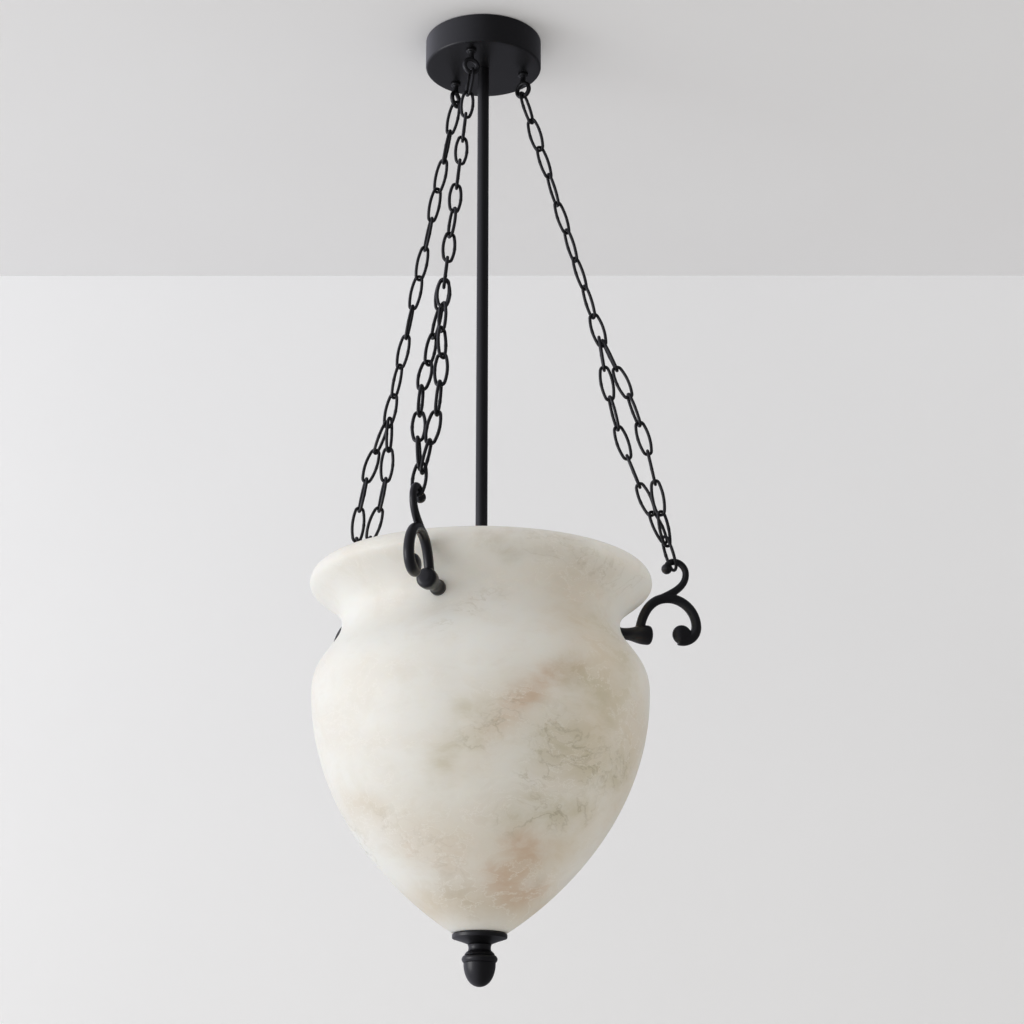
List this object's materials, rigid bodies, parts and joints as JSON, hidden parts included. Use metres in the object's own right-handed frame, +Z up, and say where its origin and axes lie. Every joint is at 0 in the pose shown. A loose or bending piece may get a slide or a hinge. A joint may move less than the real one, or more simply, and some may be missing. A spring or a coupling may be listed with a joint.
{
  "type": "pendant light",
  "caption": "Urn-shaped alabaster bowl pendant light with a black canopy, centre stem, scroll hooks and link chains that part into side-by-side strands, closed below by an acorn finial.",
  "frame": {"origin": "centre of the canopy's top, in the cable entry, on the ceiling plane", "axes": "+Z up into the ceiling, so the light hangs towards -Z; +X towards the right-hand hook"},
  "size_m": [0.4192, 0.4188, 1.0519],
  "materials": {
    "alabaster": "honed, slightly translucent",
    "black_powder_coat": "satin black",
    "zinc_plated_steel": "zinc plated",
    "bronzed_brass": "darkened",
    "brass": "bright",
    "white_porcelain": "unglazed",
    "frosted_glass": "frosted",
    "white_plastic": "matt",
    "cable_sheath": "matt",
    "rubber": "matt"
  },
  "bodies": {
    "frame": {"bowl": "alabaster", "bowl_seat_nut": "zinc_plated_steel", "bowl_seat_pad": "rubber", "bowl_seat_washer": "zinc_plated_steel", "canopy": "black_powder_coat", "canopy_grub_screws": "zinc_plated_steel", "ceiling_plate": "zinc_plated_steel", "centre_rod": "zinc_plated_steel", "earth_screw": "zinc_plated_steel", "eye_bolt_nuts": "zinc_plated_steel", "eye_bolt_washers": "zinc_plated_steel", "eye_bolts": "black_powder_coat", "holder_arms": "bronzed_brass", "holder_contacts": "brass", "holder_shells": "brass", "holder_wires": "cable_sheath", "hook_pads": "rubber", "hook_screws": "zinc_plated_steel", "hook_washers": "zinc_plated_steel", "hub_cap": "zinc_plated_steel", "hub_nut": "zinc_plated_steel", "lamp_holders": "white_porcelain", "lamp_hub": "bronzed_brass", "lamp_lead": "cable_sheath", "scroll_hook_front": "black_powder_coat", "scroll_hook_left": "black_powder_coat", "scroll_hook_right": "black_powder_coat", "stem": "black_powder_coat", "stem_lock_nut": "zinc_plated_steel", "stem_lock_washer": "zinc_plated_steel", "stem_nipple": "zinc_plated_steel", "terminal_block": "white_plastic"},
    "chain_right": {"chain_right_hook_link": "black_powder_coat", "chain_right_inner_strand": "black_powder_coat", "chain_right_outer_strand": "black_powder_coat", "chain_right_upper_links": "black_powder_coat"},
    "chain_left": {"chain_left_hook_link": "black_powder_coat", "chain_left_inner_strand": "black_powder_coat", "chain_left_outer_strand": "black_powder_coat", "chain_left_upper_links": "black_powder_coat"},
    "chain_front": {"chain_front_hook_link": "black_powder_coat", "chain_front_inner_strand": "black_powder_coat", "chain_front_outer_strand": "black_powder_coat", "chain_front_upper_links": "black_powder_coat"},
    "finial_seat": {"finial_plate": "black_powder_coat", "bowl_base_pad": "rubber"},
    "finial": {"finial": "black_powder_coat"},
    "bulb_1_base": {"bulb_1_contact": "brass"},
    "bulb_1": {"bulb_1_cap": "brass", "bulb_1_globe": "frosted_glass"},
    "bulb_2_base": {"bulb_2_contact": "brass"},
    "bulb_2": {"bulb_2_cap": "brass", "bulb_2_globe": "frosted_glass"},
    "bulb_3_base": {"bulb_3_contact": "brass"},
    "bulb_3": {"bulb_3_cap": "brass", "bulb_3_globe": "frosted_glass"}
  },
  "joints": [
    {"name": "chain_right_sway", "type": "hinge", "parent": "frame", "child": "chain_right", "pos_m": [0.046, 0, -0.0615], "axis": [0.292, 0, -0.9564], "range_deg": [0, 15]},
    {"name": "chain_left_sway", "type": "hinge", "parent": "frame", "child": "chain_left", "pos_m": [-0.023, 0.03984, -0.0615], "axis": [-0.146, 0.2529, -0.9564], "range_deg": [-15, 0]},
    {"name": "chain_front_sway", "type": "hinge", "parent": "frame", "child": "chain_front", "pos_m": [-0.023, -0.03984, -0.0615], "axis": [-0.146, -0.2529, -0.9564], "range_deg": [-6, 15]},
    {"name": "finial_travel", "type": "slide", "parent": "frame", "child": "finial_seat", "axis": [0, 0, -1], "range_m": [0, 0.012]},
    {"name": "finial_turn", "type": "hinge", "parent": "finial_seat", "child": "finial", "pos_m": [0, 0, -1.01041], "axis": [0, 0, -1], "range_deg": [0, 2880]},
    {"name": "bulb_1_travel", "type": "slide", "parent": "frame", "child": "bulb_1_base", "axis": [0.5, 0.866, 0], "range_m": [0, 0.02359]},
    {"name": "bulb_1_turn", "type": "hinge", "parent": "bulb_1_base", "child": "bulb_1", "pos_m": [0.0295, 0.0511, -0.74571], "axis": [0.5, 0.866, 0], "range_deg": [0, 2340]},
    {"name": "bulb_2_travel", "type": "slide", "parent": "frame", "child": "bulb_2_base", "axis": [-1, 0, 0], "range_m": [0, 0.02359]},
    {"name": "bulb_2_turn", "type": "hinge", "parent": "bulb_2_base", "child": "bulb_2", "pos_m": [-0.059, 0, -0.74571], "axis": [-1, 0, 0], "range_deg": [0, 2340]},
    {"name": "bulb_3_travel", "type": "slide", "parent": "frame", "child": "bulb_3_base", "axis": [0.5, -0.866, 0], "range_m": [0, 0.02359]},
    {"name": "bulb_3_turn", "type": "hinge", "parent": "bulb_3_base", "child": "bulb_3", "pos_m": [0.0295, -0.0511, -0.74571], "axis": [0.5, -0.866, 0], "range_deg": [0, 2340]}
  ],
  "couplings": [
    {"joint": "finial_travel", "follows": "finial_turn", "m_per_rad": 0.00023873},
    {"joint": "bulb_1_turn", "follows": "bulb_1_travel", "rad_per_m": 1731.4},
    {"joint": "bulb_2_turn", "follows": "bulb_2_travel", "rad_per_m": 1731.4},
    {"joint": "bulb_3_turn", "follows": "bulb_3_travel", "rad_per_m": 1731.4}
  ]
}
